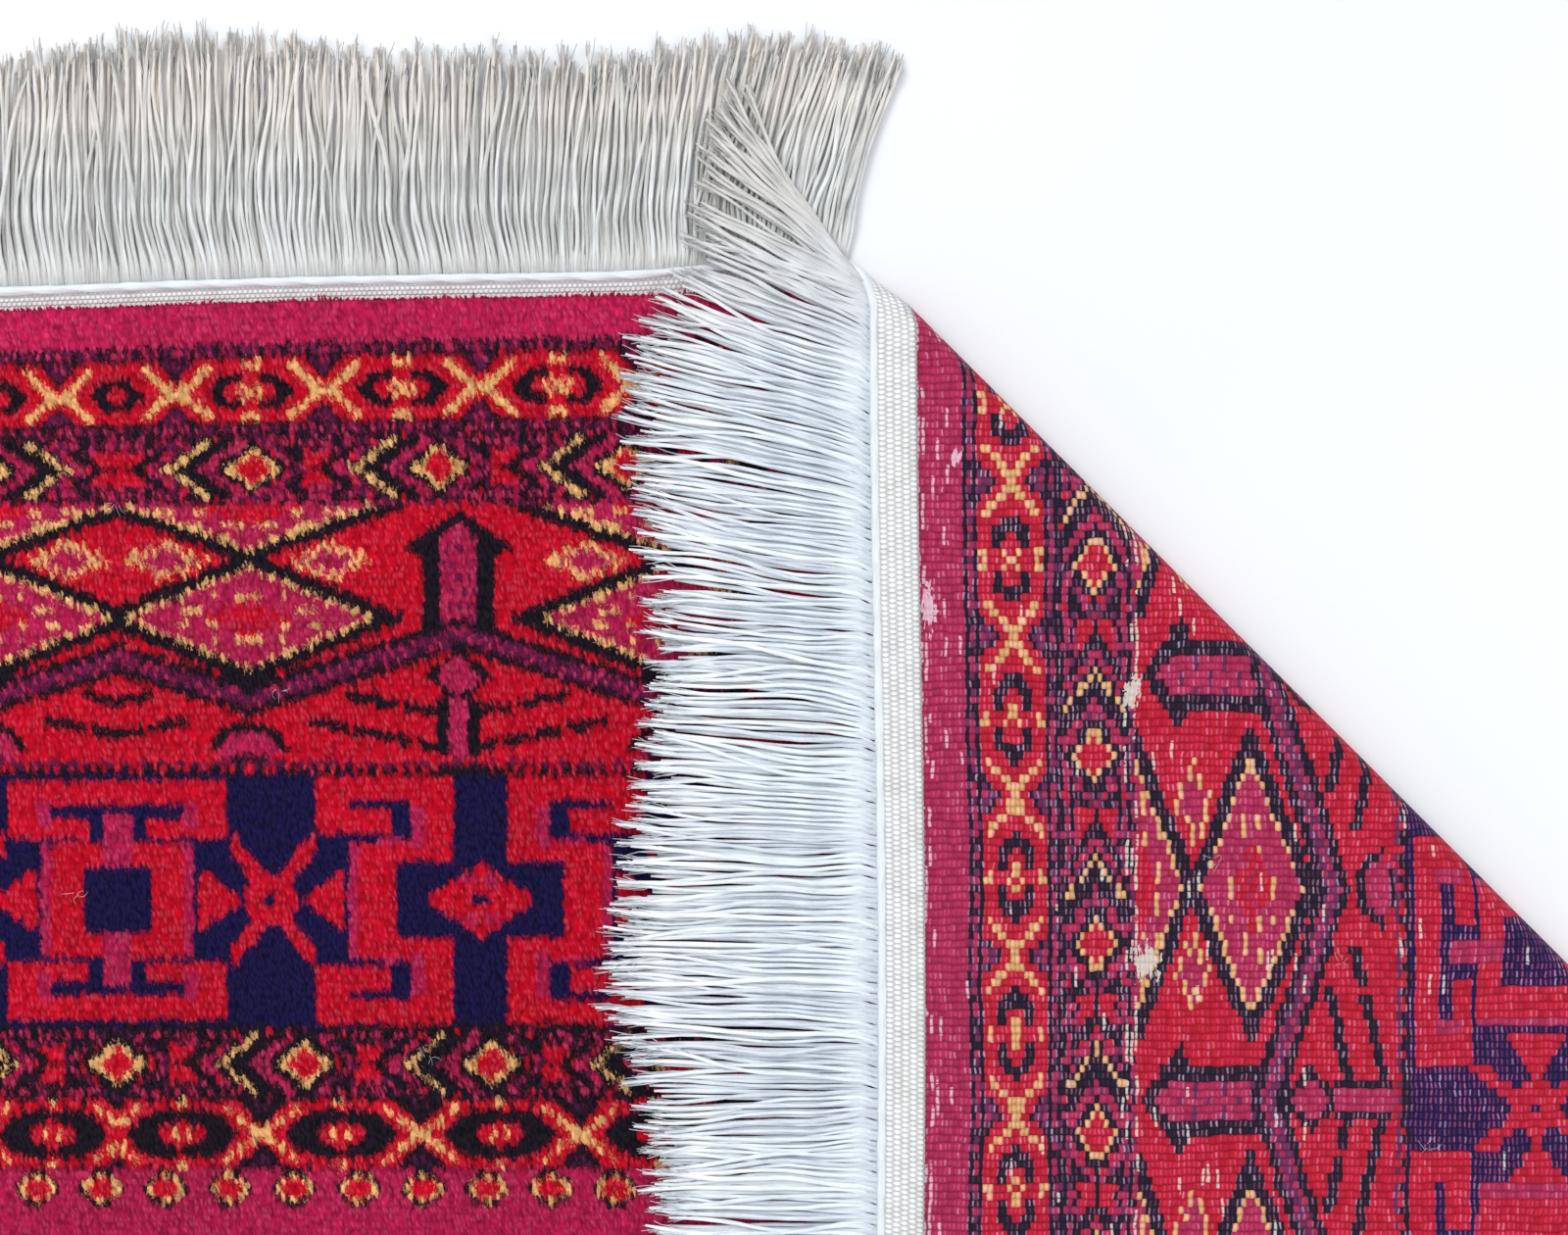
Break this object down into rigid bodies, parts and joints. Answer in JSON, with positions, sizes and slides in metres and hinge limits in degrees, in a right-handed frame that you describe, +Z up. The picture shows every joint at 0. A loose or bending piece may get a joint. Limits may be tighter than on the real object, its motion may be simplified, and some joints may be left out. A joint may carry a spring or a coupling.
{
  "type": "turkmen rug",
  "caption": "Flat knotted wool pile rug with striped borders, woven end strips and fringe at both ends, lying with a corner folded over so that its back shows.",
  "frame": {"origin": "centre of the rug's footprint, fringe included, on the floor that it lies on", "axes": "+Y along the rug's length towards the end with the turned corner, +X across it towards that corner, +Z up from the floor"},
  "size_m": [1.304, 2.1778, 0.015],
  "materials": {
    "wool_pile": "cut wool pile, matt, deep red with navy, wine and gold figures, the ribbed knots of the back showing on the turned corner",
    "fringe_yarn": "undyed ivory and grey plied yarn, matt, plain-woven where it forms the end strip"
  },
  "bodies": {
    "root": {"rug_body": "wool_pile", "near_fringe": "fringe_yarn", "far_fringe": "fringe_yarn"}
  },
  "joints": []
}
